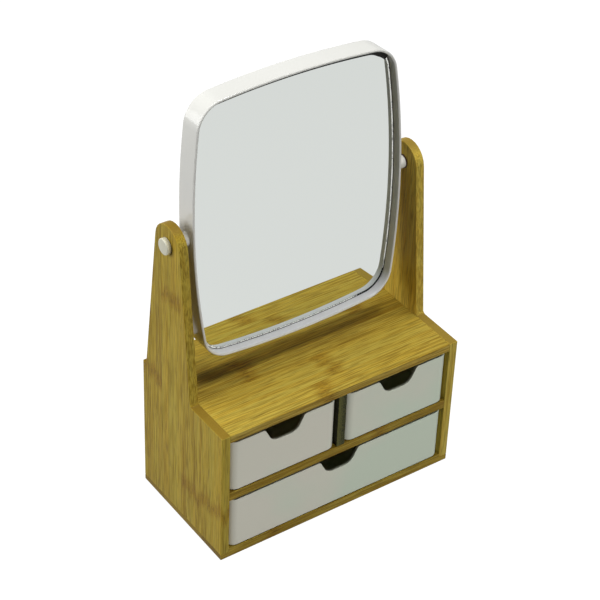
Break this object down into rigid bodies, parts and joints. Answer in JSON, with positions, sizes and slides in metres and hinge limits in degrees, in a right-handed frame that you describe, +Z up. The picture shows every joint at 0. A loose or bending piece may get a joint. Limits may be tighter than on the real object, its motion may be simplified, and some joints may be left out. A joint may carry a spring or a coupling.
{
  "type": "makeup mirror with drawers",
  "caption": "Bamboo tabletop cabinet with moulded white drawers and, between its tall tapering side panels, a tilting mirror in a deep white frame.",
  "frame": {"origin": "middle of the footprint, on the surface that the cabinet stands on", "axes": "+Z up, -Y towards the drawers' fronts and the mirror's face, +X to the viewer's right"},
  "size_m": [0.2284, 0.112, 0.3644],
  "materials": {
    "bamboo": "clear satin lacquer over fine-grained bamboo board",
    "bamboo_end_grain": "clear satin lacquer over bamboo end grain",
    "drawer_plastic": "fine matt moulded white",
    "frame_plastic": "smooth moulded white",
    "silvered_glass": "polished, silvered on the back",
    "steel": "zinc plated",
    "foam": "closed-cell foam tape",
    "dark_rubber": "matt"
  },
  "bodies": {
    "cabinet": {"bottom_board": "bamboo", "left_side_panel": "bamboo", "right_side_panel": "bamboo", "top_board": "bamboo", "middle_shelf": "bamboo", "drawer_divider": "bamboo_end_grain", "back_panel": "bamboo", "top_board_dowels": "bamboo_end_grain", "shelf_dowels": "bamboo_end_grain", "divider_dowels": "bamboo_end_grain", "bottom_screws": "steel", "back_panel_screws": "steel"},
    "left_drawer": {"left_drawer": "drawer_plastic"},
    "right_drawer": {"right_drawer": "drawer_plastic"},
    "lower_drawer": {"lower_drawer": "drawer_plastic"},
    "mirror": {"mirror_frame": "frame_plastic", "glass_pad": "foam", "mirror_glass": "silvered_glass", "mirror_back_cover": "frame_plastic", "left_pivot_screw": "steel", "right_pivot_screw": "steel", "left_pivot_cap": "frame_plastic", "right_pivot_cap": "frame_plastic", "left_friction_washer": "dark_rubber", "right_friction_washer": "dark_rubber"}
  },
  "joints": [
    {"name": "mirror_tilt", "type": "hinge", "parent": "cabinet", "child": "mirror", "pos_m": [0, 0.019, 0.252], "axis": [1, 0, 0], "continuous": true},
    {"name": "left_drawer_slide", "type": "slide", "parent": "cabinet", "child": "left_drawer", "axis": [0, -1, 0], "range_m": [0, 0.09]},
    {"name": "right_drawer_slide", "type": "slide", "parent": "cabinet", "child": "right_drawer", "axis": [0, -1, 0], "range_m": [0, 0.09]},
    {"name": "lower_drawer_slide", "type": "slide", "parent": "cabinet", "child": "lower_drawer", "axis": [0, -1, 0], "range_m": [0, 0.09]}
  ]
}
